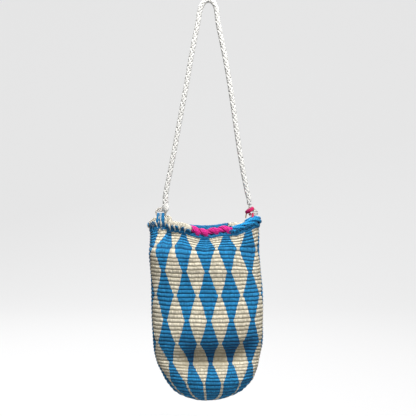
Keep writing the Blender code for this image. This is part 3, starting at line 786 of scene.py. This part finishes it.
def fabric_inside(base, rows):
    """The plainer backs of a band's rows, in the same form, with painted shade, darker in their grooves."""
    v = np.repeat(rows[:, None], len(base), axis=1)
    u = base + v * ROW_LEAN
    rib = np.abs(np.sin(math.pi * (v - np.floor(v + 1e-9))))
    sunk = v + row_dip(u, v)
    depth = FABRIC + 0.0006 * rib - front_push(u, v)
    return on_wall(u, sunk) - wall_normals(u, sunk) * depth[..., None], 0.35 * (1 - rib) + 0.25


def wall_band(number, first, last, stitches, stitch_steps):
    """One closed band of the fabric: looped rows outside, their plainer backs inside."""
    columns = stitches * stitch_steps
    count = last - first
    base = np.arange(columns + 1) / columns
    outside = np.linspace(first, last, count * ROW_STEPS + 1)
    inside = np.linspace(last, first, count * INSIDE_STEPS + 1)
    outer, groove = fabric_outside(base, outside, stitches)
    inner, inner_groove = fabric_inside(base, inside)
    places = np.concatenate([outer, inner, outer[:1]])
    places[:, -1] = places[:, 0]
    if last == ROW_COUNT:
        for row in (len(outer) - 1, len(outer)):
            places[row] = places[row].mean(axis=0)
    down = np.concatenate([outside, inside, [first]])
    grooves = np.concatenate([groove, inner_groove, groove[:1]])
    stitch = np.arange(columns) // stitch_steps
    middles = (np.arange(columns) + 0.5) / columns
    heights = np.clip((down[:-1] + down[1:]) / 2, first, last - 0.001)
    yarn, tone = zip(*(pattern(height, middles, stitch, stitches) for height in heights))
    bm = bmesh.new()
    add_grid(bm, places, (stitches, 2 * count + 1), grooves, yarn=np.array(yarn), tone=np.array(tone))
    finished(f"looped_wall_{number}", bm, "pouch", "looped_fibre", "pouch_wall")


for number, band in enumerate(BANDS, 1):
    wall_band(number, *band)


# The rim: its core cord, its row of stitches and the yarns wound over it.


RIM_LINE = rim_curve(RIM_SAMPLES)
RIM_SIDE, RIM_UP = level_frames(RIM_LINE[:, :3])
RIM_LENGTH = path_length(np.vstack([RIM_LINE[:, :3], RIM_LINE[:1, :3]]))


def rim_pick(table, shares):
    """A closed table's values at shares of the way round the rim."""
    turn = np.mod(shares, 1) * RIM_SAMPLES
    low = turn.astype(int) % RIM_SAMPLES
    t = turn - np.floor(turn)
    if table.ndim > 1:
        t = t[..., None]
    return table[low] * (1 - t) + table[(low + 1) % RIM_SAMPLES] * t


def rim_tall(shares):
    return rim_pick(RIM_LINE[:, 3], shares)


def rim_core(shares):
    return rim_pick(RIM_LINE[:, :3], shares)


def beside_rim(shares, outward, upward):
    """Places beside the rim's core, by distances out from the mouth and up."""
    across = rim_pick(RIM_SIDE, shares) * outward[..., None]
    return rim_core(shares) + across + rim_pick(RIM_UP, shares) * upward[..., None]


def round_rim(shares, angle, inset, low=0.0):
    """Places in the edging's oval by the angle from outwards to upwards. Its lower half may reach further."""
    rise = np.sin(angle)
    tall = rim_tall(shares) - inset
    upward = np.where(rise > 0, tall, tall + low) * rise
    return beside_rim(shares, (EDGING_SIDE_RADIUS - inset) * np.cos(angle), upward)


def rim_share(x, front):
    """How far round the rim a place along X lies, on its front or its back half."""
    distance = np.abs(RIM_LINE[:, 0] - x)
    turn = (np.arange(RIM_SAMPLES) + RIM_SAMPLES // 4) % RIM_SAMPLES
    wrong = (turn >= RIM_SAMPLES // 2) if front else (turn < RIM_SAMPLES // 2)
    distance[wrong] += POUCH_WIDTH
    return int(np.argmin(distance)) / RIM_SAMPLES


def rim_stretch(first, last):
    """The shares between two places round the rim, each given by its X and whether it is in front."""
    start = rim_share(*first)
    stop = rim_share(*last)
    return start, stop + 1 if stop <= start else stop


def add_coil(bm, stretch, winding, rng, swell=lambda shares: 0.0):
    """Yarns wound side by side over a stretch of the rim."""
    start, stop = stretch
    starts, pitch, radius = winding
    length = (stop - start) * RIM_LENGTH
    around = TAU * EDGING_SIDE_RADIUS * length / pitch
    count = int(math.hypot(length, around) / (COIL_STEP * radius)) + 2
    shares = np.linspace(start, stop, count)
    turn = -TAU * (shares - start) * RIM_LENGTH / pitch
    for k in range(starts):
        wander = sum(reach * np.sin(turn * rate + rng.uniform(0, 6)) for reach, rate in COIL_WANDER)
        inset = radius * rng.uniform(0.88, 1.12) - swell(shares)
        path = round_rim(shares, turn + TAU * k / starts + wander, inset)
        add_strand(bm, path, radius, shade=rng.uniform(0.25, 0.75), core=rim_core(shares))


def scallop_out(depth, tall):
    """How far out the stitches lie at a depth under the core: on the roll, then on the row under it."""
    roll = EDGING_SIDE_RADIUS * np.sqrt(np.clip(1 - (depth / tall) ** 2, 0, 1))
    below = (depth - tall - BASE_ROW_RADIUS) / BASE_ROW_RADIUS
    row = BASE_ROW_RADIUS * np.sqrt(np.clip(1 - below**2, 0, 1))
    return np.maximum(np.maximum(roll, row), 0.6 * BASE_ROW_RADIUS)


def stitch_places():
    """Each stitch's place under the roll by its share round the rim, a little uneven as by hand."""
    rng = draws(3)
    even = (np.arange(RIM_STITCHES) + 0.5) / RIM_STITCHES
    return even + rng.uniform(-0.1, 0.1, RIM_STITCHES) / RIM_STITCHES


LOBED = (rim_share(LOBES[0][0], True) - 1, rim_share(LOBES[-1][1], True))


def build_stitch_row():
    """A cord under the roll, and over it one leaf of looped yarn for each stitch, outside and inside."""
    rng = draws(4)
    bm = bmesh.new()
    shares = np.linspace(0, 1, 520)[:-1]
    low = rim_tall(shares) + BASE_ROW_RADIUS + GAP
    cord = beside_rim(shares, 0 * low, -low)
    add_strand(bm, cord, BASE_ROW_RADIUS * 0.8, sides=10, closed=True, shade=0.1)
    for middle in stitch_places():
        middle -= 1 if middle > 1 + LOBED[0] else 0
        lean = rng.uniform(-0.35, 0.35)
        for facing in (1, -1):
            covered = facing > 0 and LOBED[0] < middle < LOBED[1]
            size = np.interp(rim_pick(RIM_LINE[:, 0], middle), *LEAF_GROWTH)
            size = LEAF_UNDER_LOBES if covered else size
            for half_width, high in LEAF_SIZES:
                add_leaf(bm, middle, half_width, high * size, lean, facing, rng.uniform(0.2, 0.8))
    finished("rim_leaves", bm, "pouch", "blue_yarn", "rim_stitch_row")


def add_leaf(bm, middle, half_width, high, lean, facing, shade):
    """One loop of yarn that rises from the wall's top on to the roll and comes down again."""
    turn = np.linspace(-0.08, 1.08, 17) * math.pi
    rise = np.sin(turn)
    shares = middle + (half_width * -np.cos(turn) + lean * high * np.clip(rise, 0, 1)) / RIM_LENGTH
    tall = rim_tall(shares)
    depth = tall + 2 * BASE_ROW_RADIUS + GAP - high * rise
    out = scallop_out(depth, tall) + LEAF_RADIUS * 0.75
    path = beside_rim(shares, facing * out, -depth)
    add_strand(bm, path, LEAF_RADIUS, sides=7, turn_length=0.005, shade=shade)


def add_spikes(bm, stretch, rng):
    """The edging yarn's own stitches, which taper down between the leaves."""
    start, stop = stretch
    for middle in stitch_places() + 0.5 / RIM_STITCHES:
        place = middle if middle > start else middle + 1
        if not start + 0.004 < place < stop - 0.004:
            continue
        down = np.linspace(0, 1, 12)
        shares = place + (SPIKE_LEAN * (1 - down) * rng.uniform(-1, 0.2)) / RIM_LENGTH
        tall = rim_tall(shares)
        depth = -0.25 * tall + down * (1.25 * tall + SPIKE_REACH * rng.uniform(0.85, 1.1))
        out = scallop_out(depth, tall) + SPIKE_RADIUS * 0.55
        full = 0.55 + 0.45 * np.sin(math.pi * np.clip(down * 1.25, 0, 1))
        radii = SPIKE_RADIUS * full * (1 - 0.75 * down**3)
        for facing in (1, -1):
            path = beside_rim(shares, facing * out, -depth)
            add_strand(bm, path, radii, turn_length=0.007, shade=rng.uniform(0.45, 0.8))


def build_wound_edging(name, slot, node, stretch, winding, *swell):
    """A stretch of edging: yarns wound close over the core, with their spikes."""
    rng = draws(len(name))
    bm = bmesh.new()
    add_coil(bm, stretch, winding, rng, *swell)
    add_spikes(bm, stretch, rng)
    finished(name, bm, "pouch", slot, node)


def add_lobe(bm, first_x, tip_x, rng):
    """One thick turn of the magenta band: it runs along the roll's top, then dives to a tip under it."""
    start = rim_share(first_x, True)
    stop = rim_share(tip_x, True)
    stop += 1 if stop < start else 0
    run = np.linspace(0, 1, 34)
    dive = math.radians(128) - math.radians(205) * (0.35 * run + 0.65 * run**2.2)
    middle = start + (stop - start) * run
    wide = np.interp(run, (0, 0.3, 0.62, 0.86, 1), (0.75, 1, 1, 0.5, 0.22))
    low = np.full(len(run), LOBE_REACH)
    for k in range(LOBE_STRANDS):
        aside = (k / (LOBE_STRANDS - 1) - 0.5) * 2
        shares = middle + aside * wide * LOBE_HALF_WIDTH / RIM_LENGTH
        bulge = LOBE_BULGE * np.sin(math.pi * np.clip(run * 1.1, 0, 1)) * (1 - 0.55 * aside**2)
        path = round_rim(shares, dive, LOBE_RADIUS - bulge, low)
        shade = rng.uniform(0.15, 0.95)
        add_strand(bm, path, LOBE_RADIUS, sides=9, turn_length=0.008, shade=shade, core=rim_core(shares))


def build_magenta_edging():
    """The magenta band: a wound base, and four thick turns with pointed tips."""
    rng = draws(5)
    bm = bmesh.new()
    stretch = rim_stretch((WHITE_END_X, True), (MAGENTA_END_X, True))
    add_coil(bm, stretch, MAGENTA_WINDING, rng, lambda shares: MAGENTA_SUNK)
    for first_x, tip_x in LOBES:
        add_lobe(bm, first_x, tip_x, rng)
    finished("magenta_band", bm, "pouch", "magenta_yarn", "magenta_edging")


def build_roll():
    """The bright roll of thick yarns that twist slowly, and its round end at the corner."""
    rng = draws(6)
    front = rim_stretch((MAGENTA_END_X - 0.002, True), (ROLL_END_X, True))
    corner = rim_stretch((ROLL_END_X - 0.005, True), (CORNER_END_X, False))
    parts = (
        ("twisted_roll", "blue_front_edging", front, 0),
        ("corner_roll", "right_corner_edging", corner, 1),
    )
    for name, node, (start, stop), swollen in parts:
        bm = bmesh.new()
        shares = np.linspace(start, stop, 90)
        share = (shares - start) / (stop - start)
        swell = swollen * CORNER_SWELL * np.sin(math.pi * share**0.7) ** 2
        low = ROLL_LOW * np.sin(math.pi * share) ** 0.5
        turns = (shares - rim_share(ROLL_END_X, True)) * RIM_LENGTH / ROLL_PITCH
        core = rim_core(shares)
        for k in range(ROLL_STRANDS):
            path = round_rim(shares, TAU * (k / ROLL_STRANDS - turns), ROLL_RADIUS - swell, low)
            looks = {"sides": 12, "turn_length": 0.012, "shade": rng.uniform(0.25, 0.85), "core": core}
            add_strand(bm, path, ROLL_RADIUS + 0.3 * swell, **looks)
        add_strand(bm, core, 0.0024 + 0.5 * swell, shade=0.3)
        finished(name, bm, "pouch", "bright_blue_yarn", node)


def build_core():
    bm = bmesh.new()
    add_strand(bm, rim_core(np.linspace(0, 1, 500)[:-1]), CORE_RADIUS, closed=True)
    finished("core_cord", bm, "pouch", "cream_cord", "rim_core_cord")


def lump_swell(shares):
    """How much thicker the white roll is beside the inner lashing."""
    return LUMP_HEIGHT * bell(np.mod(shares, 1), rim_share(LUMP_X, True), LUMP_REACH / RIM_LENGTH, 4)


def build_rim():
    left = (LEFT_CORNER_X, False)
    build_core()
    build_stitch_row()
    white = rim_stretch(left, (WHITE_END_X, True))
    build_wound_edging("white_roll", "white_yarn", "white_front_edging", white, WHITE_WINDING, lump_swell)
    build_magenta_edging()
    build_roll()
    hump = rim_stretch((CORNER_END_X, False), (HUMP_END_X, False))
    build_wound_edging("white_hump", "white_yarn", "white_back_edging", hump, WHITE_WINDING)
    back = rim_stretch((HUMP_END_X, False), left)
    build_wound_edging("blue_back_roll", "blue_yarn", "blue_back_edging", back, BLUE_WINDING)


build_rim()


# The lashings that hold the rim to the strap's end loops.


def lashing_turn(bar_x, roll_x, front, radius, weave):
    """A closed turn of thread round the bar and the roll, by where it crosses each along X."""
    share = rim_share(roll_x, front)
    here = rim_pick(RIM_LINE, np.array([share]))[0]
    side = EDGING_SIDE_RADIUS + (0 if front else CORNER_SWELL)
    turn = np.linspace(0, TAU, 97)
    facing = np.stack([np.cos(turn), np.sin(turn)], axis=1)
    bar = LOOP_RADIUS + LASHING_GAP + radius
    wide = side + LASHING_GAP + radius + LASHING_PROUD
    high = here[3] + LASHING_GAP + radius
    bar_place = np.array([0, SWING_Z]) + bar * facing
    oval = facing * np.array([wide, high])
    squares = facing * np.array([wide**2, high**2])
    roll_place = here[1:3] + squares / np.linalg.norm(oval, axis=1)[:, None]
    on_bar = (bar_place * facing).sum(axis=1) > (roll_place * facing).sum(axis=1)
    ring = np.where(on_bar[:, None], bar_place, roll_place)
    lower = np.clip((SWING_Z - ring[:, 1]) / (2 * here[3]), 0, 1)
    points = np.stack([bar_x + (roll_x - bar_x) * lower, ring[:, 0], ring[:, 1]], axis=1)
    points = evened(points, 73)
    if weave:
        depth = np.clip((SWING_Z - points[:, 2]) / (2 * here[3]), 0, 1)
        wave = weave * np.cos(TAU * LASHING_CRESTS * depth + 2.9)
        points[:, 1] += np.sign(points[:, 1] - here[1]) * wave
    return points[:-1]


def build_lashings():
    """Bundles of thread turns, each on its CAD lashing's place on the bar."""
    for name, slot, node, front, radius, turns in LASHINGS:
        rng = draws(len(name))
        bm = bmesh.new()
        for bar_x, roll_x, weave in turns:
            path = lashing_turn(bar_x, roll_x, front, radius, weave)
            looks = {"shade": rng.uniform(0.3, 0.7), "dye": 0.0 if front else 1.0}
            add_strand(bm, path, radius, turn_length=0.004, closed=True, **looks)
        finished(name, bm, "pouch", slot, node)


build_lashings()


# The strap's ends: its knot, its whipping, its loops and a loose thread.


def rounded_route(corners, radius, samples):
    """A path through corners, each rounded, evenly spaced by length."""
    fine = [np.array(corners[0])]
    for before, here, after in zip(corners, corners[1:], corners[2:]):
        before, here, after = (np.array(c) for c in (before, here, after))
        back = (before - here) / np.linalg.norm(before - here)
        ahead = (after - here) / np.linalg.norm(after - here)
        reach = min(radius, np.linalg.norm(before - here) / 2, np.linalg.norm(after - here) / 2)
        for t in np.linspace(0, 1, 9):
            bend = (here + back * reach) * (1 - t) ** 2 + here * 2 * t * (1 - t)
            fine.append(bend + (here + ahead * reach) * t * t)
    fine.append(np.array(corners[-1]))
    return evened(np.array(fine), samples)


def end_loop_path(end_x, reach, side, height):
    """The end loop's centre line, from inside the rope's end round to the knot's side."""
    beside = end_x + side * (WHIPPING_RADIUS + GAP)
    far = end_x + side * reach
    corners = [
        (end_x, 0.0, SWING_Z + KNOT_RISE + WHIPPING_HEIGHT),
        (end_x, 0.0, SWING_Z),
        (far, 0.0, SWING_Z),
        (far, 0.0, SWING_Z + height * 0.62),
        ((far + beside) / 2, 0.0, SWING_Z + height),
        (beside - side * 0.003, 0.0, SWING_Z + height * 0.86),
    ]
    return rounded_route(corners, 0.0028, 110)


def inner_turn(end_x, reach, side, aside, rise):
    """A second turn of the cord, which fills the loop over the lashings and ends by its far side."""
    far = end_x + side * (reach - aside)
    low = SWING_Z + INNER_TURN_RISE
    corners = [
        (end_x + side * 0.0005, 0.0, low - 0.0004),
        (far - side * 0.0020, 0.0, low + 0.0002),
        (far, 0.0, SWING_Z + rise),
    ]
    return rounded_route(corners, 0.0020, 40)


def add_twisted_cord(bm, path, radius, pitch, rng):
    """A cord of two strands twisted together."""
    side, up = carried_frames(path)
    along = np.linspace(0, path_length(path), len(path))
    reach = radius * 0.5
    for k in range(2):
        strand = round_path(path, side, up, reach, reach, TAU * (along / pitch + k / 2))
        add_strand(bm, strand, radius - reach, sides=9, turn_length=0.005, shade=rng.uniform(0.4, 0.7))


def build_end_loops():
    rng = draws(8)
    loops = (
        ("grey", "left_strap_loop", LEFT_LOOP, (0.0016, 0.0078)),
        ("white", "right_strap_loop", RIGHT_LOOP, (0.0021, 0.001)),
    )
    for name, node, loop, inner in loops:
        bm = bmesh.new()
        add_twisted_cord(bm, end_loop_path(*loop), LOOP_RADIUS * 1.18, 0.008, rng)
        add_twisted_cord(bm, inner_turn(*loop[:3], *inner), INNER_TURN_RADIUS, 0.007, rng)
        finished(f"{name}_end_loop", bm, "strap", f"{name}_cord", node)


def build_left_knot():
    """The rope's end, splayed and drawn in again under the knot."""
    rng = draws(9)
    bm = bmesh.new()
    rise = np.linspace(0, 1, 30)
    reach = np.pad(np.interp(rise, *KNOT_SHAPE), 2, mode="edge")
    reach = np.convolve(reach, np.ones(5) / 5, mode="valid")
    height = SWING_Z + KNOT_RISE - 0.0002 + (KNOT_HEIGHT + 0.002) * rise
    for k in range(KNOT_STRANDS):
        turn = TAU * (k / KNOT_STRANDS + 0.30 * rise) + rng.uniform(-0.1, 0.1)
        path = np.stack([LEFT_END_X + reach * np.cos(turn), reach * np.sin(turn), height], axis=1)
        add_strand(bm, path, KNOT_STRAND_RADIUS, plies=0, shade=rng.uniform(0.4, 0.8))
    centre = np.stack([np.full(30, LEFT_END_X), np.zeros(30), height], axis=1)
    add_strand(bm, centre, 0.55 * reach + 0.0004, shade=0.4)
    return finished("splayed_knot", bm, "strap", "white_rope", "left_strap_knot")


def whipping_turn(k):
    """One closed turn of the whipping, which rises to the right over the rope's end."""
    turn = np.linspace(0, TAU, 65)[:-1]
    along = (WHIPPING_HALF_LENGTH + 0.0004 * math.cos(3 * k)) * np.cos(turn)
    aside = (k / (WHIPPING_TURNS - 1) - 0.5) * WHIPPING_BAND * (1 - 0.25 * np.cos(turn) ** 2)
    cos, sin = math.cos(WHIPPING_SLOPE), math.sin(WHIPPING_SLOPE)
    x = RIGHT_END_X + 0.0004 + along * cos - aside * sin
    z = SWING_Z + WHIPPING_MIDDLE + along * sin + aside * cos
    return np.stack([x, np.interp(z - SWING_Z, *WHIPPING_FREE) * np.sin(turn), z], axis=1)


def build_whipping():
    """Crimson turns in a slanting band across the rope's end, and a small round hitch under them."""
    rng = draws(10)
    bm = bmesh.new()
    for k in range(WHIPPING_TURNS):
        path = whipping_turn(k)
        core = path.mean(axis=0) + 0.5 * (path - path.mean(axis=0))
        looks = {"shade": rng.uniform(0.3, 0.8), "dye": 1 - 0.4 * k / (WHIPPING_TURNS - 1), "core": core}
        add_strand(bm, path, WHIPPING_THREAD, turn_length=0.005, closed=True, **looks)
    turn = np.linspace(0, TAU, 33)[:-1]
    for tilt in (0.3, 1.35, 2.4):
        ring = np.stack([np.cos(turn) * math.cos(tilt), np.sin(turn), np.cos(turn) * math.sin(tilt)], axis=1)
        path = np.array(HITCH_PLACE) + HITCH_SIZE * ring
        add_strand(bm, path, HITCH_THREAD, closed=True, shade=0.9, dye=0.8)
    return finished("crimson_whipping", bm, "strap", "magenta_yarn", "right_strap_whipping")


def build_tail():
    """The loose thread end beside the whipping."""
    bm = bmesh.new()
    down = np.linspace(0, 1, 24)
    x = RIGHT_END_X - TAIL_ASIDE + 0.0005 * np.sin(5 * down)
    path = np.stack([x, 0.0006 * np.sin(4 * down), SWING_Z + KNOT_RISE + 0.0010 - TAIL_LENGTH * down], axis=1)
    add_twisted_cord(bm, path, TAIL_RADIUS, 0.003, draws(12))
    finished("loose_thread", bm, "strap", "tan_thread", "tan_thread_tail")


build_end_loops()
KNOT = build_left_knot()
WHIPPING = build_whipping()
build_tail()


# The stage, the lamps and the camera.

FLOOR_Z = -0.74
PAPER = (0.19, 0.19, 0.192, 1)
PAPER_GLOW = 0.70
SKY_SEEN = 0.62
SKY_LIGHT = 0.15
LAMP_AIM = (0, 0, -0.40)
CAMERA_LENS = 108.17
CAMERA_PLACE = (-0.0011, -1.9924, -0.1505)
CAMERA_AIM = (-0.0011, 0.0, -0.3248)


def seen_by_camera(tree, strength):
    """A strength that only the camera's own rays meet."""
    return math_node(tree, "MULTIPLY", add_node(tree, "LightPath")["Is Camera Ray"], strength)


def build_stage():
    """A pale floor that sweeps up into a backdrop."""
    bm = bmesh.new()
    bmesh.ops.create_grid(bm, x_segments=2, y_segments=40, size=1)
    for vertex in bm.verts:
        share = (vertex.co.y + 1) / 2
        y, z = -4 + 11 * share, 0.0
        if share >= 0.5:
            turn = min(1.0, (share - 0.5) / 0.3) * math.pi / 2
            y = 1.5 + 1.2 * math.sin(turn)
            z = 1.2 * (1 - math.cos(turn)) + max(0.0, share - 0.8) * 18
        vertex.co = (vertex.co.x * 6, y, z + FLOOR_Z)
    mesh = bpy.data.meshes.new("backdrop")
    bm.to_mesh(mesh)
    bm.free()
    mesh.shade_smooth()
    paper, tree, shader = new_material("pale_paper")
    glow = {"Emission Color": (1, 1, 1, 1), "Emission Strength": seen_by_camera(tree, PAPER_GLOW)}
    feed(tree, shader, {"Base Color": PAPER, "Roughness": 0.9, **glow})
    mesh.materials.append(paper)
    placed("backdrop", mesh)


def lamp(name, place, size, power):
    data = bpy.data.lights.new(name, "AREA")
    data.shape = "DISK"
    data.size = size
    data.energy = power
    made = placed(name, data)
    look(made, place, LAMP_AIM)
    return made


def look(made, place, aim):
    """Sets a lamp or the camera on its place, turned to its aim."""
    made.location = place
    made.rotation_euler = (Vector(aim) - made.location).to_track_quat("-Z", "Y").to_euler()


def build_camera():
    data = bpy.data.cameras.new("camera")
    data.lens = CAMERA_LENS
    data.sensor_width = 36
    made = placed("camera", data)
    look(made, CAMERA_PLACE, CAMERA_AIM)
    bpy.context.scene.camera = made


def build_light():
    world = bpy.data.worlds.new("studio")
    world.use_nodes = True
    tree = world.node_tree
    strength = math_node(tree, "ADD", seen_by_camera(tree, SKY_SEEN), SKY_LIGHT)
    feed(tree, tree.nodes["Background"].inputs, {0: (1, 1, 1, 1), 1: strength})
    bpy.context.scene.world = world
    lamp("key", (0.22, -0.85, 1.25), 0.6, 47)
    lamp("fill", (0.45, -1.9, 0.0), 0.9, 11)
    lamp("behind", (-0.45, 1.15, 0.65), 0.6, 22).visible_camera = False
    bpy.context.scene.view_settings.view_transform = "Standard"


build_stage()
build_camera()
build_light()
